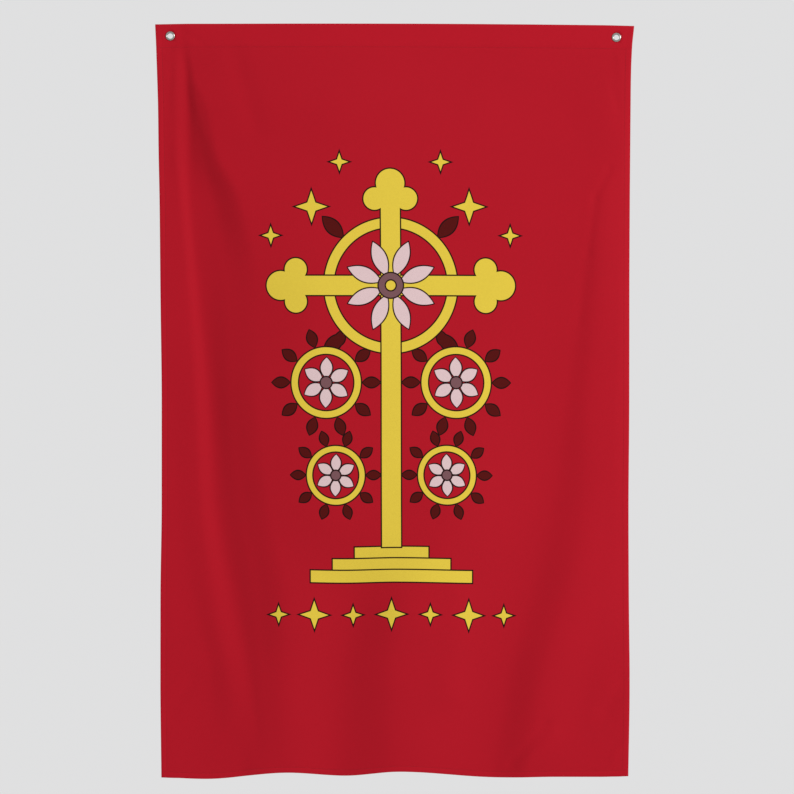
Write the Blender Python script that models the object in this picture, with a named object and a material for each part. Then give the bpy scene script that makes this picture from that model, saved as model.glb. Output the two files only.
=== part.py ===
"""Church banner: a red cloth that hangs against a wall by two metal eyelets in its top corners.

Metres, +Z up. The origin is the middle of the top edge, in the plane of the wall. +X is to the
right of someone who faces the banner, and the cloth stands out from the wall towards -Y.
"""

import math

import bmesh
import bpy
import numpy as np

MM = 0.001

# Driving sizes of the cloth, in millimetres
LENGTH = 1417.0
HEADING_HEIGHT = 44.0
HEM_WIDTH = 12.0
HEM_STEP = 1.5
CLOTH_THICKNESS = 1.2
TURNED_THICKNESS = 2.2
GAP = 0.3

# Rows of cells down each piece
HEADING_ROWS = 4
CLOTH_ROWS = 40

# Driving sizes of an eyelet and its washer, in millimetres
BORE_RADIUS = 5.0
BARREL_RADIUS = 5.6
LIP_RADIUS = 7.4
FLANGE_RADIUS = 8.8
FLANGE_HEIGHT = 1.7
WASHER_THICKNESS = 0.8
LIP_HEIGHT = 0.8
CUTTER_LENGTH = 40.0
ROUND_SIDES = 32
EYELET_DOWN = 21.5
EYELETS = (
    # name, across
    ("left", -422.0),
    ("right", 417.0),
)

# Round each eyelet the cloth is pressed flat, and it leaves that plane over the next stretch
FLAT_RADIUS = 13.0
FLAT_EASE = 26.0

# The fold lines across the cloth, from its left edge to its right edge
FOLD_LINES = (
    # fold line, cells from it to the next
    ("left edge", 1),
    ("side valley", 3),
    ("side fold", 3),
    ("left valley", 2),
    ("left slope", 3),
    ("left fold", 6),
    ("middle valley", 6),
    ("middle fold", 7),
    ("right valley", 5),
    ("right fold", 3),
    ("corner valley", 2),
    ("right edge", 0),
)

# Where each fold line lies across, in millimetres from the middle: a row for each distance down
PLACES = (
    (0, -450, -430, -413, -396, -393, -390, -140, 142, 311, 387, 421, 450),
    (40, -448, -426, -411, -394, -391, -387, -139, 142, 310, 389, 422, 446),
    (90, -446, -424, -412, -391, -386, -380, -137, 143, 315, 392, 423, 444),
    (160, -444, -426, -412, -389, -373, -348, -135, 143, 321, 399, 424, 443),
    (240, -443, -426, -411, -388, -368, -331, -138, 143, 336, 400, 425, 442),
    (330, -441, -425, -403, -384, -346, -286, -141, 144, 346, 392, 419, 441),
    (520, -439, -424, -387, -365, -312, -251, -140, 147, 342, 380, 419, 440),
    (710, -437, -414, -376, -347, -307, -251, -118, 146, 318, 364, 412, 440),
    (900, -437, -405, -367, -335, -289, -234, -98, 102, 293, 358, 406, 439),
    (1080, -439, -380, -342, -305, -261, -202, -83, 28, 249, 324, 396, 440),
    (1230, -439, -348, -310, -276, -250, -207, -105, -1, 208, 281, 372, 441),
    (1417, -437, -346, -289, -254, -233, -212, -108, 0, 177, 255, 338, 438),
)

# How far the front of the cloth stands out from the wall on each fold line, in the same columns
DEPTHS = (
    (0, 4.5, 4.5, 5, 5, 5.5, 5.5, 9, 5.5, 5, 4.5, 4.5, 4.5),
    (40, 7.5, 7, 7, 5, 6.5, 7, 13, 6, 5, 5, 5, 5),
    (90, 11, 9.5, 9.5, 5.5, 7.5, 10, 20, 9, 6.5, 6, 5.5, 5),
    (160, 11, 9.5, 9.5, 5, 12, 20, 28, 14.5, 8, 10.5, 9, 7.5),
    (240, 11.5, 10, 11, 5, 10.5, 23.5, 26, 18, 14.5, 15, 14.5, 12),
    (330, 14.5, 13.5, 13, 6, 9, 26, 27, 23.5, 20.5, 22, 19.5, 15.5),
    (520, 16, 15, 13, 6.5, 15.5, 26, 36.5, 29, 23, 26, 23, 18),
    (710, 13.5, 13, 14, 7, 18, 30.5, 38.5, 32.5, 19, 23.5, 20.5, 15),
    (900, 14, 12.5, 13.5, 7, 17, 29.5, 38.5, 38, 14, 19.5, 15.5, 10),
    (1080, 18, 15, 17.5, 13.5, 22.5, 33, 24.5, 37.5, 11.5, 20.5, 12.5, 5),
    (1230, 20, 16.5, 20, 18, 22, 26.5, 16.5, 30, 9, 20, 12, 11.5),
    (1417, 22, 16, 15, 19, 20.5, 20.5, 11, 22, 7, 17, 17.5, 18.5),
)

# How far the top edge drops below level, and how far the hem lifts above its lowest point
TOP_DROPS = (
    # across, drop
    (-450, 1.0),
    (-385, 0.0),
    (10, 0.0),
    (386, 2.5),
    (450, 4.0),
)
HEM_LIFTS = (
    # across, lift
    (-438, 4.0),
    (-352, 0.0),
    (-202, 12.0),
    (-95, 5.5),
    (8, 14.0),
    (196, 2.0),
    (302, 4.0),
    (386, 4.0),
    (438, 6.0),
)
HEM_LIFT_POWER = 4

COLOURS = {
    # name: (colour, roughness, metallic)
    "red cloth": ((0.42, 0.012, 0.022, 1.0), 0.75, 0.0),
    "nickel": ((0.62, 0.60, 0.56, 1.0), 0.25, 1.0),
}


def smooth_through(places, values, at):
    """A smooth curve through the values, which never overshoots them, read at the given places."""
    spans = np.diff(places)
    slopes = np.diff(values) / spans
    tangents = np.concatenate([slopes[:1], np.zeros(len(slopes) - 1), slopes[-1:]])
    same_way = slopes[:-1] * slopes[1:] > 0
    sums = np.where(same_way, slopes[:-1] + slopes[1:], 1.0)
    tangents[1:-1] = np.where(same_way, 2 * slopes[:-1] * slopes[1:] / sums, 0.0)
    index = np.clip(np.searchsorted(places, at, side="right") - 1, 0, len(spans) - 1)
    span = spans[index]
    t = (at - places[index]) / span
    start = values[index] * (1 + 2 * t) + tangents[index] * span * t
    end = values[index + 1] * (3 - 2 * t) - tangents[index + 1] * span * (1 - t)
    return start * (1 - t) ** 2 + end * t**2


def read_table(table, at):
    """The columns after the first one of a table, each read at one value of the first."""
    rows = np.array(table, float)
    return np.array([float(smooth_through(rows[:, 0], column, at)) for column in rows[:, 1:].T])


def read_pairs(table, at):
    """The second column of a two-column table, read at places along the first."""
    rows = np.array(table, float)
    return smooth_through(rows[:, 0], rows[:, 1], np.clip(at, rows[0, 0], rows[-1, 0]))


def eased(t):
    """Goes from 0 to 1 as t does, starting and ending gently."""
    t = np.clip(t, 0.0, 1.0)
    return t * t * (3 - 2 * t)


def row_places(down):
    """The places across of one row's points, with two close ones where each side hem ends."""
    lines = read_table(PLACES, down)
    left, right = lines[0], lines[-1]
    inner = HEM_WIDTH + HEM_STEP
    lines[0], lines[-1] = left + inner, right - inner
    spans = [
        np.linspace(start, end, cells, endpoint=False)
        for start, end, (_, cells) in zip(lines, lines[1:], FOLD_LINES)
    ]
    ends = [right - inner, right - HEM_WIDTH, right]
    return np.concatenate([[left, left + HEM_WIDTH], *spans, ends])


def eyelet_depth():
    """How far the front of the cloth stands out where an eyelet holds it to the wall."""
    behind = WASHER_THICKNESS + LIP_HEIGHT + 2 * GAP
    return TURNED_THICKNESS + behind


def stood_out(across, down):
    """How far the front of the cloth stands out along one row of points."""
    depths = smooth_through(read_table(PLACES, down), read_table(DEPTHS, down), across)
    for _, place in EYELETS:
        away = np.hypot(across - place, down - EYELET_DOWN)
        held = 1 - eased((away - FLAT_RADIUS) / FLAT_EASE)
        depths = depths * (1 - held) + eyelet_depth() * held
    return depths


def height_of(across, down):
    """The height of points along one row, with the droop of the top edge and the lift of the hem."""
    share = down / LENGTH
    drop = read_pairs(TOP_DROPS, across) * (1 - share)
    lift = read_pairs(HEM_LIFTS, across) * share**HEM_LIFT_POWER
    return lift - drop - down


def material(name):
    """The named finish, as a Principled material."""
    colour, roughness, metallic = COLOURS[name]
    made = bpy.data.materials.new(name)
    made.use_nodes = True
    shader = made.node_tree.nodes["Principled BSDF"]
    shader.inputs["Base Color"].default_value = colour
    shader.inputs["Roughness"].default_value = roughness
    shader.inputs["Metallic"].default_value = metallic
    made.diffuse_color = colour
    return made


def add_object(name, bm, finish):
    """The finished mesh as a smooth-shaded object with its finish."""
    mesh = bpy.data.meshes.new(name)
    bm.to_mesh(mesh)
    bm.free()
    mesh.shade_smooth()
    mesh.set_sharp_from_angle(angle=math.radians(35))
    mesh.materials.append(finish)
    obj = bpy.data.objects.new(name, mesh)
    bpy.context.scene.collection.objects.link(obj)
    return obj


def hung_grid(downs):
    """A grid on the front of the hanging cloth, one row of points for each distance down."""
    rows = [row_places(down) for down in downs]
    columns = len(rows[0])
    bm = bmesh.new()
    bmesh.ops.create_grid(bm, x_segments=columns - 1, y_segments=len(downs) - 1, size=1)
    bm.verts.ensure_lookup_table()
    for row, (down, across) in enumerate(zip(downs, rows)):
        points = np.stack([across, -stood_out(across, down), height_of(across, down)], axis=1)
        for column, point in enumerate(points):
            bm.verts[row * columns + column].co = point * MM
    # The rows run downwards, which leaves the faces looking at the wall
    bmesh.ops.reverse_faces(bm, faces=bm.faces)
    return bm


def thicken(obj, thickness):
    """Gives a sheet its thickness, behind its front."""
    solidify = obj.modifiers.new("thickness", "SOLIDIFY")
    solidify.thickness = thickness * MM
    solidify.offset = -1.0
    solidify.use_even_offset = True
    return solidify


def mark_hem(cloth, rows):
    """Marks the points of the side and bottom hems, where the cloth is turned to the back."""
    hem = cloth.vertex_groups.new(name="hem")
    columns = len(cloth.data.vertices) // rows
    for index in range(len(cloth.data.vertices)):
        row, column = divmod(index, columns)
        if row >= rows - 2 or column < 2 or column >= columns - 2:
            hem.add([index], 1.0, "REPLACE")
    return hem


def add_cloth(finish):
    """The cloth below the heading, with its side and bottom hems turned to the back."""
    last = LENGTH - HEM_WIDTH
    downs = [*np.linspace(HEADING_HEIGHT + GAP, last - HEM_STEP, CLOTH_ROWS), last, LENGTH]
    bm = hung_grid(downs)
    cloth = add_object("cloth", bm, finish)
    solidify = thicken(cloth, TURNED_THICKNESS)
    solidify.vertex_group = mark_hem(cloth, len(downs)).name
    solidify.thickness_vertex_group = CLOTH_THICKNESS / TURNED_THICKNESS


def eyelet_place(across):
    """The middle of an eyelet, in the plane of the wall."""
    return (across * MM, 0.0, height_of(np.array([across]), EYELET_DOWN)[0] * MM)


def add_cutter(name, place, finish):
    """A plain round bar that cuts the hole for an eyelet's barrel."""
    bm = bmesh.new()
    radius = (BARREL_RADIUS + GAP) * MM
    depth = CUTTER_LENGTH * MM
    bmesh.ops.create_cone(
        bm, cap_ends=True, segments=ROUND_SIDES, radius1=radius, radius2=radius, depth=depth
    )
    cutter = add_object(name, bm, finish)
    cutter.location = place
    cutter.rotation_euler = (math.radians(90), 0, 0)
    cutter.hide_render = True
    cutter.display_type = "WIRE"
    return cutter


def add_heading(finish):
    """The turned strip along the top, two layers thick, with a round hole for each eyelet."""
    bm = hung_grid(np.linspace(0.0, HEADING_HEIGHT, HEADING_ROWS + 1))
    heading = add_object("heading", bm, finish)
    thicken(heading, TURNED_THICKNESS)
    for name, across in EYELETS:
        cut = heading.modifiers.new(name + " hole", "BOOLEAN")
        cut.operation = "DIFFERENCE"
        cut.object = add_cutter(name + "_hole_cutter", eyelet_place(across), finish)


def add_turned(name, profile, place, finish):
    """A round piece about a level axis, turned from a closed outline of (radius, distance from wall)."""
    bm = bmesh.new()
    points = [bm.verts.new((radius * MM, -out * MM, 0)) for radius, out in profile]
    edges = [bm.edges.new(pair) for pair in zip(points, points[1:] + points[:1])]
    bmesh.ops.spin(
        bm,
        geom=points + edges,
        cent=(0, 0, 0),
        axis=(0, 1, 0),
        dvec=(0, 0, 0),
        angle=2 * math.pi,
        steps=ROUND_SIDES,
        use_merge=True,
    )
    bmesh.ops.recalc_face_normals(bm, faces=bm.faces)
    turned = add_object(name, bm, finish)
    turned.location = place
    return turned


def eyelet_outline():
    """The eyelet: a domed flange, a barrel through the cloth, and a lip rolled over the washer."""
    front = eyelet_depth() + GAP
    dome = FLANGE_HEIGHT
    return (
        (BORE_RADIUS + 0.5, 0.0),
        (LIP_RADIUS - 0.4, 0.0),
        (LIP_RADIUS, 0.4 * LIP_HEIGHT),
        (LIP_RADIUS - 0.1, LIP_HEIGHT),
        (BARREL_RADIUS, LIP_HEIGHT),
        (BARREL_RADIUS, front),
        (FLANGE_RADIUS, front),
        (FLANGE_RADIUS - 0.1, front + 0.35 * dome),
        (FLANGE_RADIUS - 0.8, front + 0.75 * dome),
        (FLANGE_RADIUS - 1.9, front + dome),
        (BORE_RADIUS + 1.2, front + 0.9 * dome),
        (BORE_RADIUS + 0.3, front + 0.5 * dome),
        (BORE_RADIUS, front),
        (BORE_RADIUS, LIP_HEIGHT),
    )


def washer_outline():
    """The washer: a flat ring between the back of the cloth and the eyelet's rolled lip."""
    back = LIP_HEIGHT + GAP
    front = back + WASHER_THICKNESS
    hole = BARREL_RADIUS + GAP
    return ((hole, back), (FLANGE_RADIUS, back), (FLANGE_RADIUS, front), (hole, front))


def main():
    for obj in list(bpy.data.objects):
        bpy.data.objects.remove(obj)
    red_cloth = material("red cloth")
    nickel = material("nickel")
    add_cloth(red_cloth)
    add_heading(red_cloth)
    for name, across in EYELETS:
        place = eyelet_place(across)
        add_turned("eyelet_" + name, eyelet_outline(), place, nickel)
        add_turned("washer_" + name, washer_outline(), place, nickel)


main()
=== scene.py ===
import math

import bmesh
import bpy
import numpy as np
from mathutils import Matrix, Vector


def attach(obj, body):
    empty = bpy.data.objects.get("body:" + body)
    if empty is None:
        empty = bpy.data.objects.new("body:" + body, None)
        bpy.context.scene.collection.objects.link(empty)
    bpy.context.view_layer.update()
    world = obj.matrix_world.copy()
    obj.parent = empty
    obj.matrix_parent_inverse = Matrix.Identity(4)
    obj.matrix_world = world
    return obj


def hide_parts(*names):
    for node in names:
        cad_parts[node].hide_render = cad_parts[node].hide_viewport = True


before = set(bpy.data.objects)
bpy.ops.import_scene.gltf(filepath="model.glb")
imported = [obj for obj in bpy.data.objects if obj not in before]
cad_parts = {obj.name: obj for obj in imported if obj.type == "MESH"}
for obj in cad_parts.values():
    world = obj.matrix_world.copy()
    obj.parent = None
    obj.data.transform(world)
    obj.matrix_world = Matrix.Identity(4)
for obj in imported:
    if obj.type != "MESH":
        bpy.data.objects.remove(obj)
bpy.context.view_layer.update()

# The cloth
# One length of thin woven polyester, printed on its face and blank behind. Its sides and foot are turned to
# the back in narrow hems and its top in a wide heading, and it hangs in soft folds from two eyelets.
MM = 0.001
WIDTH = 900.0
LENGTH = 1417.0
CLOTH_THICKNESS = 0.35
HEM_WIDTH = 12.0
HEM_LOFT = 0.8
HEADING_WIDTH = 46.0
HEADING_LOFT = 2.2
SIDE_SEAM = 10.5
FOOT_SEAM = 10.5
HEADING_SEAM = 42.8
HEADING_SINK = 0.9
HEM_SINK = 0.15
SEAM_SPREAD = 2.2
SEWN_LOFT = 1.3
SEWN_SPREAD = 9.0
EYELETS = (("left", -422.0), ("right", 417.0))
EYELET_DOWN = 21.5
EYELET_DEPTH = 4.4
FLAT_RADIUS = 13.0
FLAT_EASE = 26.0
HOLE_HALF = 6.5
HOLE_RADIUS = 7.0
CELL = 5.9
FIRST_COLUMN = 5.0
FIRST_ROW = 7.5
FOLD_STEPS = 4
ROW_SAMPLES = 721
CORNER_PAST = 2.0

# How far across each fold line runs, at each distance down: left edge, side valley, side fold, left
# valley, left slope, left fold, middle valley, middle fold, right valley, right fold, corner valley and
# right edge
PLACES = (
    (0, -450, -430, -413, -396, -393, -390, -140, 142, 311, 387, 421, 450),
    (40, -448, -426, -411, -394, -391, -387, -139, 142, 310, 389, 422, 446),
    (90, -446, -424, -412, -391, -386, -380, -137, 143, 315, 392, 423, 444),
    (160, -444, -426, -412, -389, -373, -348, -135, 143, 321, 399, 424, 443),
    (240, -443, -426, -411, -388, -368, -331, -138, 143, 336, 400, 425, 442),
    (330, -441, -425, -403, -384, -346, -286, -141, 144, 346, 392, 419, 441),
    (520, -439, -424, -387, -365, -312, -251, -140, 147, 342, 380, 419, 440),
    (710, -437, -414, -376, -347, -307, -251, -118, 146, 318, 364, 412, 440),
    (900, -437, -405, -367, -335, -289, -234, -98, 102, 293, 358, 406, 439),
    (1080, -439, -380, -342, -305, -261, -202, -83, 28, 249, 324, 396, 440),
    (1230, -439, -348, -310, -276, -250, -207, -105, -1, 208, 281, 372, 441),
    (1417, -437, -346, -289, -254, -233, -212, -108, 0, 177, 255, 338, 438),
)
# How far the cloth's front stands out on the same lines
DEPTHS = (
    (0, 4.5, 4.5, 5, 5, 5.5, 5.5, 9, 5.5, 5, 4.5, 4.5, 4.5),
    (40, 7.5, 7, 7, 5, 6.5, 7, 13, 6, 5, 5, 5, 5),
    (90, 11, 9.5, 9.5, 5.5, 7.5, 10, 20, 9, 6.5, 6, 5.5, 5),
    (160, 11, 9.5, 9.5, 5, 12, 20, 28, 14.5, 8, 10.5, 9, 7.5),
    (240, 11.5, 10, 11, 5, 10.5, 23.5, 26, 18, 14.5, 15, 14.5, 12),
    (330, 14.5, 13.5, 13, 6, 9, 26, 27, 23.5, 20.5, 22, 19.5, 15.5),
    (520, 16, 15, 13, 6.5, 15.5, 26, 36.5, 29, 23, 26, 23, 18),
    (710, 13.5, 13, 14, 7, 18, 30.5, 38.5, 32.5, 19, 23.5, 20.5, 15),
    (900, 14, 12.5, 13.5, 7, 17, 29.5, 38.5, 38, 14, 19.5, 15.5, 10),
    (1080, 18, 15, 17.5, 13.5, 22.5, 33, 24.5, 37.5, 11.5, 20.5, 12.5, 5),
    (1230, 20, 16.5, 20, 18, 22, 26.5, 16.5, 30, 9, 20, 12, 11.5),
    (1417, 22, 16, 15, 19, 20.5, 20.5, 11, 22, 7, 17, 17.5, 18.5),
)
TOP_DROPS = ((-450, 1.0), (-385, 0.0), (10, 0.0), (386, 2.5), (450, 4.0))
HEM_LIFTS = (
    (-438, 4.0), (-352, 0.0), (-202, 12.0), (-95, 5.5), (8, 14.0),
    (196, 2.0), (302, 4.0), (386, 4.0), (438, 6.0),
)
HEM_LIFT_POWER = 4
# Soft creases: across and down where each starts and ends, half its width, and how far it stands out
CREASES = (
    ("left eyelet's pull", -403, 12, -358, 38, 5, -0.7),
    ("left eyelet's long pull", -300, 60, -262, 190, 20, -1.6),
    ("left eyelet's ridge", -404, 30, -392, 66, 6, 0.6),
    ("left edge's crease", -420, 80, -426, 165, 5, -0.8),
    ("left wedge's lip", -382, 110, -358, 210, 7, 0.9),
    ("right eyelet's pull", 398, 20, 352, 40, 6, -0.5),
    ("right eyelet's ridge", 420, 48, 424, 96, 6, 0.6),
    ("right eyelet's side", 431, 10, 432, 30, 4, 0.9),
    ("right edge's crease", 409, 118, 420, 158, 5, -0.5),
    ("hook's tip", 404, 270, 376, 325, 6, -1.3),
    ("hook's side", 376, 325, 362, 430, 7, -1.2),
    ("hook's tail", 362, 430, 345, 560, 9, -0.8),
    ("right valley's belly", 120, 1080, 100, 1260, 30, 2.0),
    ("foot's prong", 217, 1392, 283, 1318, 9, -1.6),
    ("foot's prong ridge", 240, 1398, 300, 1334, 9, 1.0),
    ("corner's crease", 409, 1383, 437, 1345, 6, 0.9),
    ("corner's hollow", 398, 1290, 432, 1240, 16, -1.6),
    ("left foot's crease", -420, 1300, -380, 1230, 14, -1.0),
)


def smooth_through(places, values, at):
    """A smooth line through a short table's values, with no rise or dip between two of them."""
    spans = np.diff(places)
    slopes = np.diff(values) / spans
    tangents = np.concatenate([slopes[:1], np.zeros(len(slopes) - 1), slopes[-1:]])
    same_way = slopes[:-1] * slopes[1:] > 0
    sums = np.where(same_way, slopes[:-1] + slopes[1:], 1.0)
    tangents[1:-1] = np.where(same_way, 2 * slopes[:-1] * slopes[1:] / sums, 0.0)
    index = np.clip(np.searchsorted(places, at, side="right") - 1, 0, len(spans) - 1)
    span = spans[index]
    t = (at - places[index]) / span
    start = values[index] * (1 + 2 * t) + tangents[index] * span * t
    end = values[index + 1] * (3 - 2 * t) - tangents[index + 1] * span * (1 - t)
    return start * (1 - t) ** 2 + end * t**2


def read_table(table, at):
    """Each column after the first, read at one value of the first."""
    rows = np.array(table, float)
    return np.array([float(smooth_through(rows[:, 0], column, at)) for column in rows[:, 1:].T])


def read_pairs(table, at):
    """A table of two columns, read at values of the first, which hold past its ends."""
    rows = np.array(table, float)
    return smooth_through(rows[:, 0], rows[:, 1], np.clip(at, rows[0, 0], rows[-1, 0]))


def eased(t):
    """A soft step from 0 to 1."""
    t = np.clip(t, 0, 1)
    return t * t * (3 - 2 * t)


def crease_out(across, down):
    """How far the small creases stand out along one row of points."""
    out = np.zeros_like(across)
    for _, across_a, down_a, across_b, down_b, half, rise in CREASES:
        run = np.array([across_b - across_a, down_b - down_a], float)
        offset = np.stack([across - across_a, np.full_like(across, down - down_a)], axis=1)
        share = np.clip(offset @ run / (run @ run), 0, 1)
        away = np.linalg.norm(offset - share[:, None] * run, axis=1)
        out += rise * np.exp(-((away / half) ** 2))
    return out


def stood_out(across, down):
    """How far the front of the cloth stands out along one row of points."""
    depths = smooth_through(read_table(PLACES, down), read_table(DEPTHS, down), across)
    depths += crease_out(across, down)
    for _, place in EYELETS:
        away = np.hypot(across - place, down - EYELET_DOWN)
        held = 1 - eased((away - FLAT_RADIUS) / FLAT_EASE)
        depths = depths * (1 - held) + EYELET_DEPTH * held
    return depths


def height_of(across, down):
    """The height of points along one row, with the droop of the top edge and the lift of the hem."""
    share = down / LENGTH
    drop = read_pairs(TOP_DROPS, across) * (1 - share)
    lift = read_pairs(HEM_LIFTS, across) * share**HEM_LIFT_POWER
    return lift - drop - down


def seam_sink(flat, down):
    """How far the sewing pulls the front in, near each line of stitches."""
    from_side_seam = np.abs(np.minimum(flat, WIDTH - flat) - SIDE_SEAM)
    from_hem_seam = np.minimum(from_side_seam, abs(LENGTH - down - FOOT_SEAM))
    hem_sunk = HEM_SINK * np.exp(-((from_hem_seam / SEAM_SPREAD) ** 2))
    heading_sunk = HEADING_SINK * math.exp(-(((down - HEADING_SEAM) / SEAM_SPREAD) ** 2))
    return np.maximum(hem_sunk, heading_sunk)


def heading_loft(down):
    """How thick the turned heading stands, which its seam presses thinner."""
    sewn = eased(1 - abs(down - HEADING_SEAM) / SEWN_SPREAD)
    return HEADING_LOFT + (SEWN_LOFT - HEADING_LOFT) * sewn


def with_corners(loft, flat):
    """A thickness along the heading or the foot, grown at both ends, where a side hem lies inside."""
    past_hem = np.minimum(flat, WIDTH - flat) - HEM_WIDTH - CORNER_PAST
    return loft + (HEADING_LOFT - loft) * (1 - eased(past_hem / (2 * HEM_WIDTH)))


def eyelet_middle(place):
    """The middle of an eyelet, in the plane of the wall."""
    return Vector((place, 0, height_of(np.array([place]), EYELET_DOWN)[0])) * MM


def hang_row(flat, down):
    """Across, out and height of the front, for flat distances from the left edge along one row."""
    lines = read_table(PLACES, down)
    across = np.linspace(lines[0], lines[-1], ROW_SAMPLES)
    out = stood_out(across, down)
    run = np.concatenate([[0.0], np.cumsum(np.hypot(np.diff(across), np.diff(out)))])
    share = run / run[-1] * WIDTH
    place = np.interp(flat, share, across)
    return place, np.interp(flat, share, out) - seam_sink(flat, down), height_of(place, down)


def spread(stops, cell):
    """Stops with even steps of about one cell between them."""
    parts = [
        np.linspace(start, end, max(1, round((end - start) / cell)), endpoint=False)
        for start, end in zip(stops, stops[1:])
    ]
    return np.concatenate([*parts, [stops[-1]]])


def turned_edge(width, stops, steps):
    """Distance in from an edge and angle turned, from a hem's raw edge round its fold to the front."""
    under = [(stop, math.pi) for stop in (width, *stops)]
    fold = [(0.0, math.pi * step / steps) for step in range(steps, 0, -1)]
    return under + fold


# The cells' lines run along the seams and round the square that is punched out for each eyelet
hole_steps = [HOLE_HALF * share for share in (-1, -1 / 3, 1 / 3, 1)]
eyelet_flats = np.linspace(0, WIDTH, ROW_SAMPLES)
eyelet_acrosses = hang_row(eyelet_flats, EYELET_DOWN)[0]
hole_flats = [
    np.interp(place, eyelet_acrosses, eyelet_flats) + step for _, place in EYELETS for step in hole_steps
]
side_stops = [0, FIRST_COLUMN, SIDE_SEAM - SEAM_SPREAD, SIDE_SEAM, SIDE_SEAM + SEAM_SPREAD]
across_stops = [*side_stops, *hole_flats, *(WIDTH - stop for stop in reversed(side_stops))]
side_turn = turned_edge(HEM_WIDTH, [HEM_WIDTH / 2], FOLD_STEPS)
columns = [(inward, turn, -1) for inward, turn in side_turn]
columns += [(flat, 0.0, 0) for flat in spread(across_stops, CELL)]
columns += [(WIDTH - inward, turn, 1) for inward, turn in reversed(side_turn)]

hole_downs = [EYELET_DOWN + step for step in hole_steps]
above_seam = [HEADING_SEAM - above for above in (SEWN_SPREAD / 2, SEAM_SPREAD, 0)]
heading_stops = [0, FIRST_ROW, *hole_downs, *above_seam]
foot_stops = [LENGTH - stop for stop in (FOOT_SEAM + SEAM_SPREAD, FOOT_SEAM, FOOT_SEAM - SEAM_SPREAD, 0)]
down_stops = [*heading_stops, HEADING_SEAM + SEAM_SPREAD, *foot_stops]
heading_turn = turned_edge(HEADING_WIDTH, heading_stops[:0:-1], FOLD_STEPS)
foot_turn = turned_edge(HEM_WIDTH, [FOOT_SEAM, HEM_WIDTH / 2], FOLD_STEPS)
rows = [(inward, turn, -1) for inward, turn in heading_turn]
rows += [(down, 0.0, 0) for down in spread(down_stops, CELL)]
rows += [(LENGTH - inward, turn, 1) for inward, turn in reversed(foot_turn)]

# Each column's distance across the finished cloth, how far its side hem turns there, and at which side
flat, side_turned, side_end = np.array(columns).T
side_radius = HEM_LOFT / 2
behind_side = side_radius * (1 - np.cos(side_turned))
past_side = side_end * side_radius * np.sin(side_turned)
cut_across = np.where(side_end < 0, -flat, flat) + side_end * side_radius * side_turned
cut_across = np.where(side_end > 0, 2 * WIDTH - flat + side_radius * side_turned, cut_across)

bm = bmesh.new()
bmesh.ops.create_grid(bm, x_segments=len(columns) - 1, y_segments=len(rows) - 1, size=1)
bm.verts.ensure_lookup_table()
cut_places = np.zeros((len(rows) * len(columns), 2))
for row, (down, turned, end) in enumerate(rows):
    across, out, height = hang_row(flat, down)
    loft = with_corners(heading_loft(down) if end < 0 else HEM_LOFT, flat)
    behind = loft / 2 * (1 - math.cos(turned)) + behind_side * math.cos(turned)
    past = end * (loft / 2 - behind_side) * math.sin(turned)
    points = np.stack([across + past_side, behind - out, height - past], axis=1) * MM
    cut_down = {-1: -down, 0: down, 1: 2 * LENGTH - down}[end] + end * HEM_LOFT / 2 * turned
    first = row * len(columns)
    for column, point in enumerate(points):
        bm.verts[first + column].co = point
    cut_up = np.full_like(flat, LENGTH - cut_down)
    cut_places[first : first + len(columns)] = np.stack([cut_across, cut_up], axis=1) * MM
bmesh.ops.reverse_faces(bm, faces=bm.faces)

cut_map = bm.loops.layers.uv.new("cut")
for face in bm.faces:
    for loop in face.loops:
        loop[cut_map].uv = cut_places[loop.vert.index]

# A hole through both layers for each eyelet's barrel, which the eyelet's rim and washer cover
for _, place in EYELETS:
    middle = eyelet_middle(place)
    punched = []
    for face in bm.faces:
        away = face.calc_center_median() - middle
        if max(abs(away.x), abs(away.z)) < HOLE_HALF * MM:
            punched.append(face)
    rim = {vert for face in punched for vert in face.verts}
    bmesh.ops.delete(bm, geom=punched, context="FACES")
    for vert in (vert for vert in rim if vert.is_valid):
        away = vert.co - middle
        away.y = 0
        away = away.normalized() * HOLE_RADIUS * MM
        vert.co.x = middle.x + away.x
        vert.co.z = middle.z + away.z


class Wire:
    """A socket's value over a surface. Python's operators on it add the Math nodes of its material."""

    def __init__(self, socket):
        self.socket = socket

    def node(self, kind, settings, inputs, output=0):
        """Another node of the same material, with its settings and its sockets' values or links."""
        tree = self.socket.id_data
        made = tree.nodes.new(kind)
        for name, value in settings.items():
            setattr(made, name, value)
        for name, value in inputs.items():
            if isinstance(value, Wire):
                tree.links.new(value.socket, made.inputs[name])
            else:
                made.inputs[name].default_value = value
        return Wire(made.outputs[output])

    def maths(self, operation, *terms, clamp=False):
        """A Math node on numbers."""
        settings = {"operation": operation, "use_clamp": clamp}
        return self.node("ShaderNodeMath", settings, dict(enumerate(terms)))

    def __add__(self, other):
        return self.maths("ADD", self, other)

    def __mul__(self, other):
        return self.maths("MULTIPLY", self, other)

    def __sub__(self, other):
        return self.maths("SUBTRACT", self, other)

    def __rsub__(self, other):
        return self.maths("SUBTRACT", other, self)

    def __abs__(self):
        return self.maths("ABSOLUTE", self)

    __radd__ = __add__
    __rmul__ = __mul__

    def vector(self, operation, *terms, output=0):
        """A Vector Math node, whose second output is the number that it works out."""
        return self.node("ShaderNodeVectorMath", {"operation": operation}, dict(enumerate(terms)), output)

    def axis(self, index):
        """One axis of a place."""
        return self.node("ShaderNodeSeparateXYZ", {}, {0: self}, index)


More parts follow.
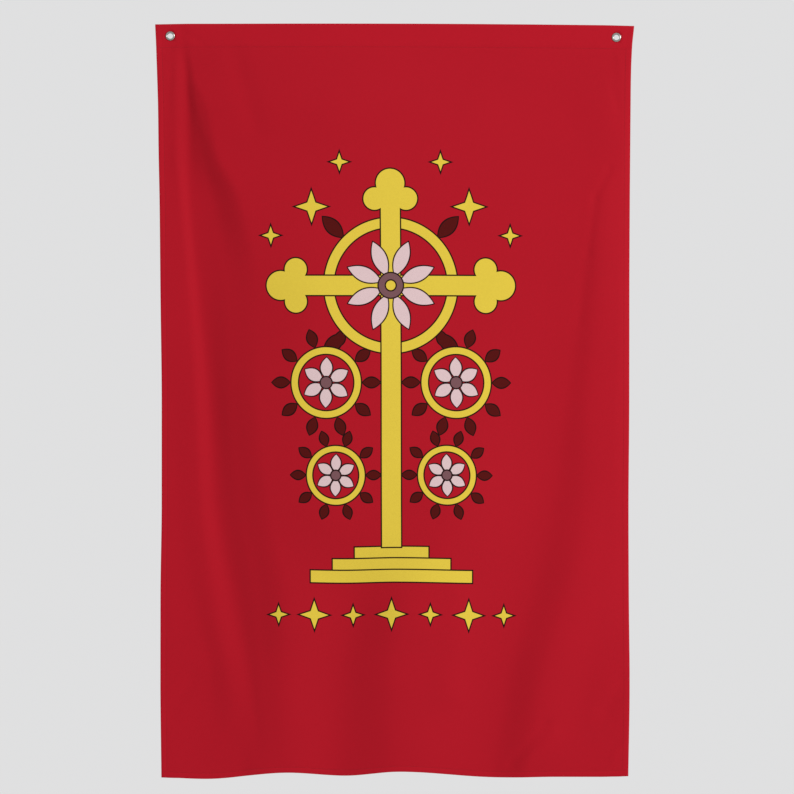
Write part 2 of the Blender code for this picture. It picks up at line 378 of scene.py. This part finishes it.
def new_material(name, roughness, metallic=0.0, specular=0.5, sheen=0.0):
    """A Principled material, with its node tree's shader and a wire from its Object coordinates."""
    made = bpy.data.materials.new(name)
    made.use_nodes = True
    shader = made.node_tree.nodes["Principled BSDF"]
    shader.inputs["Roughness"].default_value = roughness
    shader.inputs["Metallic"].default_value = metallic
    shader.inputs["Specular IOR Level"].default_value = specular
    shader.inputs["Sheen Weight"].default_value = sheen
    coordinates = made.node_tree.nodes.new("ShaderNodeTexCoord")
    return made, shader, Wire(coordinates.outputs["Object"])


def feed(shader, **wires):
    """Links wires to the shader's sockets. A word's underscores stand for spaces."""
    for name, wire in wires.items():
        socket = shader.inputs[name.replace("_", " ")]
        wire.socket.id_data.links.new(wire.socket, socket)


def paint(under, over, share):
    """One colour over another, by a share that changes over the surface."""
    return share.node("ShaderNodeMix", {"data_type": "RGBA"}, {0: share, 6: under, 7: over}, 2)


def noise(wire, scale, detail=2.0, stretch=(1, 1, 1)):
    """Soft uneven patches between 0 and 1, about 1/scale metres across."""
    place = wire.vector("MULTIPLY", wire, stretch)
    return wire.node("ShaderNodeTexNoise", {}, {"Vector": place, "Scale": scale, "Detail": detail})


def bumped(height, strength, distance):
    """A normal from a height between 0 and 1."""
    return height.node("ShaderNodeBump", {}, {"Strength": strength, "Distance": distance, "Height": height})


# The print
# A general church pattern, flat inks with thin dark outlines: a budded cross on three steps with a daisy at
# its crossing and a ring behind, leafy roundels by its foot and small four-pointed stars. All are in mm.
RED = (0.357, 0.0028, 0.0115, 1)
YELLOW = (0.625, 0.465, 0.045, 1)
PINK = (0.60, 0.445, 0.45, 1)
MAUVE = (0.155, 0.070, 0.078, 1)
MAROON = (0.070, 0.001, 0.0005, 1)
OUTLINE = (0.010, 0.0005, 0.0003, 1)
OUTLINE_WIDTH = 2.6
INK_EDGE = 0.5
PRINT_MIDDLE = -6.6
PRINT_DOWN = 612.0
CROSSING = 120.0
BAR_HALF = 18.0
UPRIGHT_MIDDLE = -38.0
UPRIGHT_HALF = 334.0
ARMS_HALF = 196.0
CROSS_BUDS = ((0, 312, 27), (30, 283, 21), (210, 120, 27), (181, 150, 21), (181, 90, 21))
RING_RADIUS = 118.0
RING_HALF = 9.0
DAISY_PETAL = (20, 88, 13)
DAISY_HEART = 23.0
DAISY_EYE = 9.0
CORNER_LEAF = (128, 182, 12)
STEPS = ((-383, 70), (-405, 112), (-427, 154))
STEP_HALF = 11.0
STARS = (
    (150, 268, 30), (228, 214, 17), (96, 352, 17),
    (0, -500, 27), (74, -500, 17), (148, -500, 27), (216, -500, 17),
)
STAR_SLIM = 0.34
ROUNDELS = ((124, -62, 60), (106, -236, 50))
# The parts of a roundel, as shares of its radius
STEM_HALF = 0.1
LEAF = (1.16, 1.72, 0.15)
BLOOM_PETAL = (0.14, 0.78, 0.18)
BLOOM_HEART = 0.17


def lowest(*shapes):
    """The joined outline of shapes, each given by a distance that is below 0 inside it."""
    joined = shapes[0]
    for shape in shapes[1:]:
        joined = joined.maths("MINIMUM", joined, shape)
    return joined


def inside(distance):
    """1 inside an outline and 0 outside it, with a soft edge as of ink in cloth."""
    return distance.maths("MULTIPLY_ADD", distance, -1 / INK_EDGE, 0.5, clamp=True)


def disc(place, across, up, radius):
    """A round patch."""
    return place.vector("DISTANCE", place, (across, up, 0), output=1) - radius


def bar(place, across, up, half_across, half_up):
    """An upright rectangle."""
    sides = place.vector("ABSOLUTE", place.vector("SUBTRACT", place, (across, up, 0)))
    past = place.vector("SUBTRACT", sides, (half_across, half_up, 0))
    return place.maths("MAXIMUM", past.axis(0), past.axis(1))


def petal(place, start, end, half_width):
    """A pointed petal or leaf that lies along the first axis."""
    middle, half = (start + end) / 2, (end - start) / 2
    along = place.axis(0) - middle
    return abs(place.axis(1)) - half_width + along * along * (half_width / half**2)


def ring_of(place, across, up, count, turned=0.0):
    """The place in one of many like sectors round a middle, so that one shape there repeats in them all."""
    offset = place.vector("SUBTRACT", place, (across, up, 0))
    angle = place.maths("ARCTAN2", offset.axis(1), offset.axis(0)) + (turned + 2 * math.pi)
    folded = angle.maths("PINGPONG", angle, math.pi / count)
    radius = place.vector("LENGTH", offset, output=1)
    along = radius * folded.maths("COSINE", folded)
    sideways = radius * folded.maths("SINE", folded)
    return place.node("ShaderNodeCombineXYZ", {}, {0: along, 1: sideways})


def star(place, across, up, size):
    """Four points, from two thin crossed lozenges."""
    offset = place.vector("ABSOLUTE", place.vector("SUBTRACT", place, (across, up, 0)))
    tall = place.vector("DOT_PRODUCT", offset, (1, STAR_SLIM, 0), output=1)
    wide = place.vector("DOT_PRODUCT", offset, (STAR_SLIM, 1, 0), output=1)
    return place.maths("MINIMUM", tall, wide) - size * STAR_SLIM


def printed(cut):
    """The inks' colour at each place of the flat cloth."""
    place = cut.vector(
        "MULTIPLY_ADD", cut, (1 / MM, 1 / MM, 0), (-WIDTH / 2 - PRINT_MIDDLE, PRINT_DOWN - LENGTH, 0)
    )
    mirrored = place.vector("ABSOLUTE", place)
    place = place.node("ShaderNodeCombineXYZ", {}, {0: mirrored.axis(0), 1: place.axis(1)})

    stems, leaves, blooms, hearts = [], [], [], []
    for across, up, size in ROUNDELS:
        stems.append(abs(disc(place, across, up, size)) - size * STEM_HALF)
        leaf_place = ring_of(place, across, up, count=10)
        leaves.append(petal(leaf_place, *(size * share for share in LEAF)))
        bloom_place = ring_of(place, across, up, count=6, turned=0.5)
        blooms.append(petal(bloom_place, *(size * share for share in BLOOM_PETAL)))
        hearts.append(disc(place, across, up, size * BLOOM_HEART))
    corner_leaves = petal(ring_of(place, 0, CROSSING, count=4, turned=math.pi / 4), *CORNER_LEAF)
    stars = [star(place, *each) for each in STARS]
    buds = [disc(place, *each) for each in CROSS_BUDS]
    upright = bar(place, 0, UPRIGHT_MIDDLE, BAR_HALF, UPRIGHT_HALF)
    arms = bar(place, 0, CROSSING, ARMS_HALF, BAR_HALF)
    ring = abs(disc(place, 0, CROSSING, RING_RADIUS)) - RING_HALF
    steps = [bar(place, 0, up, half_across, STEP_HALF) for up, half_across in STEPS]
    petals = petal(ring_of(place, 0, CROSSING, count=8, turned=math.pi / 8), *DAISY_PETAL)

    layers = (
        (lowest(*leaves, corner_leaves), MAROON),
        (lowest(*stems, *stars), YELLOW),
        (lowest(*blooms), PINK),
        (lowest(*hearts), MAUVE),
        (lowest(steps[0], ring), YELLOW),
        (steps[1], YELLOW),
        (steps[2], YELLOW),
        (lowest(upright, arms, *buds), YELLOW),
        (petals, PINK),
        (disc(place, 0, CROSSING, DAISY_HEART), MAUVE),
        (disc(place, 0, CROSSING, DAISY_EYE), YELLOW),
    )
    colour = RED
    for distance, ink in layers:
        colour = paint(colour, OUTLINE, inside(distance - OUTLINE_WIDTH))
        colour = paint(colour, ink, inside(distance))
    return colour


# The cloth's finish
# Plain weave of fine polyester yarn, matt with a slight sheen. The face carries the inks. The back is the
# white cloth, on which the face's inks show through paler.
YARN = 0.55
YARN_SHARE = 0.35
SLUBS = 900
SLUB_STRETCH = 0.12
CLOTH_SHADE = 0.975
YARN_SHADE = 0.14
DYE_CLOUDS = 0.06
DYE_SPECKS = 0.05
BLANK = (0.74, 0.70, 0.69, 1)
SHOW_THROUGH = 0.945
# The hems and heading are painted a little paler than the single cloth: a painted highlight for the light
# that the turned bands catch.
HEM_PAINTED_HIGHLIGHT = 0.04


def woven(cut):
    """The height of a plain weave between 0 and 1, its yarns a little uneven."""
    waves = cut.vector("MULTIPLY", cut, (math.pi / YARN / MM,) * 3)
    across = waves.maths("SINE", waves.axis(0))
    up = waves.maths("SINE", waves.axis(1))
    upright = noise(cut, SLUBS, stretch=(1, SLUB_STRETCH, 1))
    level = noise(cut, SLUBS, stretch=(SLUB_STRETCH, 1, 1))
    return across * up * YARN_SHARE + (upright * 0.5 + level * 0.5)


def one_layer(cut):
    """1 inside the seams, where the cloth is single, and 0 along the hems and heading, which are painted
    paler as a painted highlight.
    """
    place = cut.vector("MULTIPLY", cut, (1 / MM, 1 / MM, 0))
    middle_up = (LENGTH + FOOT_SEAM - HEADING_SEAM) / 2
    half_up = (LENGTH - FOOT_SEAM - HEADING_SEAM) / 2
    return inside(bar(place, WIDTH / 2, middle_up, WIDTH / 2 - SIDE_SEAM, half_up))


def weave_material(name, colour_of):
    """Woven cloth with its colour from the flat cut, in a finish that both faces share."""
    made, shader, wire = new_material(name, roughness=0.8, specular=0.12, sheen=0.03)
    cut = wire.node("ShaderNodeUVMap", {"uv_map": "cut"}, {})
    colour = colour_of(cut)
    patches = noise(cut, scale=9, detail=3) * DYE_CLOUDS + noise(cut, scale=160) * DYE_SPECKS
    threads = woven(cut)
    # Painted highlight: the hems and heading are painted paler than the single cloth.
    shade = patches + threads * YARN_SHADE + CLOTH_SHADE - one_layer(cut) * HEM_PAINTED_HIGHLIGHT
    shaded = wire.node("ShaderNodeVectorMath", {"operation": "SCALE"}, {0: colour, "Scale": shade})
    feed(
        shader,
        Base_Color=shaded,
        Roughness=threads * 0.16 + 0.70,
        Normal=bumped(threads, strength=0.6, distance=0.0002),
    )
    return made


def print_behind(cut):
    """The print as it shows through on the blank back, a little unevenly."""
    return paint(BLANK, printed(cut), noise(cut, scale=25, detail=3) * 0.03 + SHOW_THROUGH)


face_finish = weave_material("printed face", printed)
back_finish = weave_material("blank back", print_behind)

cloth_mesh = bpy.data.meshes.new("banner_cloth")
bm.to_mesh(cloth_mesh)
bm.free()
cloth_mesh.shade_smooth()
cloth_mesh.materials.append(face_finish)
cloth_mesh.materials.append(back_finish)
cloth = bpy.data.objects.new("banner_cloth", cloth_mesh)
bpy.context.scene.collection.objects.link(cloth)
layer = cloth.modifiers.new("thickness", "SOLIDIFY")
layer.thickness = CLOTH_THICKNESS * MM
layer.offset = -1.0
layer.material_offset = 1
layer.material_offset_rim = 1

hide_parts("cloth", "heading")
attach(cloth, "root")

# The sewing
# One line of red lockstitch holds each hem and the heading. Its stitches show on the face and on the back,
# sunk a little into the cloth.
STITCH_PITCH = 2.9
STITCH_LENGTH = 2.3
THREAD_RADIUS = 0.22
THREAD_PROUD = 0.5
THREAD_RED = (0.20, 0.004, 0.009, 1)
PALER_PLY = (0.30, 0.007, 0.014, 1)
SEAM_START = 1.5

thread_finish, shader, wire = new_material("red thread", roughness=0.6, specular=0.2, sheen=0.05)
plies = noise(wire, scale=2600, detail=1) * 0.5 + noise(wire, scale=60, detail=1) * 0.5
feed(
    shader,
    Base_Color=paint(THREAD_RED, PALER_PLY, plies),
    Roughness=plies * 0.25 + 0.45,
    Normal=bumped(plies, strength=0.4, distance=0.0001),
)


def stitch_shape():
    """One stitch, a metre long and a metre thick, along Z."""
    one = bmesh.new()
    bmesh.ops.create_uvsphere(one, u_segments=6, v_segments=5, radius=0.5)
    bmesh.ops.recalc_face_normals(one, faces=one.faces)
    points = np.array([vert.co for vert in one.verts])
    faces = [[vert.index for vert in face.verts] for face in one.faces]
    one.free()
    return points, faces


def sew(name, points):
    """A piece of joined stitches, one between each two points."""
    shape, faces = stitch_shape()
    placed, joined = [], []
    for start, end in zip(points, points[1:]):
        way = Vector(end - start)
        middle = Vector((start + end) / 2)
        turn = way.to_track_quat("Z", "Y").to_matrix().to_4x4()
        size = Matrix.Diagonal((2 * THREAD_RADIUS * MM, 2 * THREAD_RADIUS * MM, STITCH_LENGTH * MM, 1))
        matrix = np.array(Matrix.Translation(middle) @ turn @ size)
        joined += [[index + len(placed) * len(shape) for index in face] for face in faces]
        placed.append(shape @ matrix[:3, :3].T + matrix[:3, 3])
    mesh = bpy.data.meshes.new(name)
    mesh.from_pydata(np.concatenate(placed), [], joined)
    mesh.shade_smooth()
    mesh.materials.append(thread_finish)
    seam = bpy.data.objects.new(name, mesh)
    bpy.context.scene.collection.objects.link(seam)
    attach(seam, "root")
    return seam


def on_mesh(flats, down, behind):
    """Points of one row of the cloth's mesh, on its face or some way behind it."""
    across, out, height = hang_row(flats, down)
    lift = THREAD_RADIUS * THREAD_PROUD * (-1 if np.any(behind) else 1)
    return np.stack([across, behind - out - lift, height], axis=1) * MM


def stepped(along, points, stops):
    """Points at even steps on the straight lines between a mesh's points."""
    return np.stack([np.interp(stops, along, values) for values in points.T], axis=1)


face_flats = spread(across_stops, CELL)
face_downs = spread(down_stops, CELL)
stitch_downs = np.arange(HEADING_SEAM + 1, LENGTH - FOOT_SEAM, STITCH_PITCH)
stitch_flats = np.arange(SEAM_START, WIDTH - SEAM_START, STITCH_PITCH)
side_flats = np.array([SIDE_SEAM, WIDTH - SIDE_SEAM])
for face, heading_behind, hem_behind in (("face", 0.0, 0.0), ("back", SEWN_LOFT, HEM_LOFT)):
    level_seams = (("heading", HEADING_SEAM, heading_behind), ("foot", LENGTH - FOOT_SEAM, hem_behind))
    for name, down, loft in level_seams:
        behind = with_corners(loft, face_flats) if loft else 0.0
        points = stepped(face_flats, on_mesh(face_flats, down, behind), stitch_flats)
        sew(name + "_seam_" + face, points)
    edges = np.array([on_mesh(side_flats, down, hem_behind) for down in face_downs])
    for side, index in (("left", 0), ("right", 1)):
        sew(side + "_seam_" + face, stepped(face_downs, edges[:, index], stitch_downs))

# The eyelets
# Pressed two-part eyelets of nickel-plated brass: a barrel with a rounded rim in front of the heading, its
# end rolled over a plain washer behind.
ROUND_STEPS = 48
MERGE_DISTANCE = 0.00001
ROUNDING_LEVELS = 2
EYELET_OUTLINE = (
    (5.5, 0.0), (7.0, 0.0), (7.4, 0.32), (7.3, 0.8), (5.6, 0.8), (5.6, 4.7), (8.8, 4.7),
    (8.7, 5.3), (8.0, 5.98), (6.9, 6.4), (6.2, 6.23), (5.3, 5.55), (5.0, 4.7), (5.0, 0.8),
)
WASHER_OUTLINE = ((5.9, 1.1), (8.6, 1.1), (8.8, 1.3), (8.8, 1.9), (5.9, 1.9))
BRIGHT_NICKEL = (0.43, 0.42, 0.395, 1)
DULL_NICKEL = (0.27, 0.255, 0.23, 1)
WORN_NICKEL = (0.13, 0.11, 0.085, 1)

nickel, shader, wire = new_material("nickel plate", roughness=0.25, metallic=1.0)
rubbed = noise(wire, scale=700, detail=4)
spun = noise(wire, scale=2200, detail=1)
dull = noise(wire, scale=140, detail=3)
worn = rubbed.maths("MULTIPLY_ADD", rubbed, 5.0, -2.9, clamp=True)
feed(
    shader,
    Base_Color=paint(paint(BRIGHT_NICKEL, DULL_NICKEL, dull), WORN_NICKEL, worn),
    Roughness=dull * 0.16 + worn * 0.25 + 0.16,
    Normal=bumped(spun * 0.4 + rubbed * 0.6, strength=0.25, distance=0.0001),
)


def turned_metal(name, outline, place, node):
    """A ring of metal, its outline spun round the axis of an eyelet."""
    ring = bmesh.new()
    verts = [ring.verts.new((radius * MM, -out * MM, 0)) for radius, out in outline]
    edges = [ring.edges.new(pair) for pair in zip(verts, verts[1:] + verts[:1])]
    turn = {"cent": (0, 0, 0), "axis": (0, 1, 0), "angle": 2 * math.pi}
    bmesh.ops.spin(ring, geom=verts + edges, **turn, steps=ROUND_STEPS, use_merge=True)
    bmesh.ops.remove_doubles(ring, verts=ring.verts, dist=MERGE_DISTANCE)
    bmesh.ops.recalc_face_normals(ring, faces=ring.faces)
    bmesh.ops.translate(ring, verts=ring.verts, vec=place)
    mesh = bpy.data.meshes.new(name)
    ring.to_mesh(mesh)
    ring.free()
    mesh.shade_smooth()
    mesh.materials.append(nickel)
    piece = bpy.data.objects.new(name, mesh)
    bpy.context.scene.collection.objects.link(piece)
    smooth = piece.modifiers.new("rounding", "SUBSURF")
    smooth.levels = ROUNDING_LEVELS
    smooth.render_levels = ROUNDING_LEVELS
    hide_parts(node)
    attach(piece, "root")
    return piece


for side, place in EYELETS:
    middle = eyelet_middle(place)
    turned_metal(side + "_eyelet_metal", EYELET_OUTLINE, middle, "eyelet_" + side)
    turned_metal(side + "_washer_metal", WASHER_OUTLINE, middle, "washer_" + side)

# The room
# A plain pale floor well below the banner, which fades into the pale surroundings, soft light from the
# right and above and a little from behind, and the camera straight in front.
FLOOR_DROP = 1.0
FLOOR_RADIUS = 5.0
FLOOR_FADE = 3.6
FLOOR_COLOUR = (0.55, 0.55, 0.555, 1)
FLOOR_PATCHES = (0.57, 0.57, 0.575, 1)
PALE = (0.80, 0.80, 0.805, 1)
PALE_STRENGTH = 0.93
BANNER_MIDDLE = Vector((0.0044, -0.02, -0.7007))
CAMERA_AWAY = 6.0
FRAME_WIDE = 1.489

floor_shape = bmesh.new()
bmesh.ops.create_circle(floor_shape, cap_ends=True, segments=64, radius=FLOOR_RADIUS)
bmesh.ops.translate(floor_shape, verts=floor_shape.verts, vec=(0, 0, -LENGTH * MM - FLOOR_DROP))
floor_mesh = bpy.data.meshes.new("floor")
floor_shape.to_mesh(floor_mesh)
floor_shape.free()
floor_finish, shader, wire = new_material("pale floor", roughness=0.9)
from_middle = wire.vector("LENGTH", wire.vector("MULTIPLY", wire, (1, 1, 0)), output=1)
faded = from_middle.maths(
    "MULTIPLY_ADD", from_middle, -1 / FLOOR_FADE, FLOOR_RADIUS / FLOOR_FADE, clamp=True
)
feed(shader, Base_Color=paint(FLOOR_COLOUR, FLOOR_PATCHES, noise(wire, scale=3)), Alpha=faded)
floor_mesh.materials.append(floor_finish)
floor = bpy.data.objects.new("floor", floor_mesh)
bpy.context.scene.collection.objects.link(floor)

world = bpy.data.worlds.new("pale room")
world.use_nodes = True
world.node_tree.nodes["Background"].inputs["Color"].default_value = PALE
world.node_tree.nodes["Background"].inputs["Strength"].default_value = PALE_STRENGTH
bpy.context.scene.world = world
bpy.context.scene.view_settings.view_transform = "Standard"


def area_light(name, way, distance, size, power):
    """A soft square light that looks at the banner from some way off."""
    lamp = bpy.data.lights.new(name, "AREA")
    lamp.size = size
    lamp.energy = power
    light = bpy.data.objects.new(name, lamp)
    light.location = BANNER_MIDDLE + Vector(way).normalized() * distance
    light.rotation_euler = (-Vector(way)).to_track_quat("-Z", "Y").to_euler()
    light.visible_camera = False
    bpy.context.scene.collection.objects.link(light)


area_light("key", way=(0.76, -0.60, 0.26), distance=7.0, size=2.5, power=320)
area_light("back fill", way=(-0.4, 0.9, 0.4), distance=8.0, size=4.0, power=150)

lens = bpy.data.cameras.new("camera")
lens.lens = lens.sensor_width * CAMERA_AWAY / FRAME_WIDE
camera = bpy.data.objects.new("camera", lens)
camera.location = BANNER_MIDDLE + Vector((0, -CAMERA_AWAY, 0))
camera.rotation_euler = (math.radians(90), 0, 0)
bpy.context.scene.collection.objects.link(camera)
bpy.context.scene.camera = camera
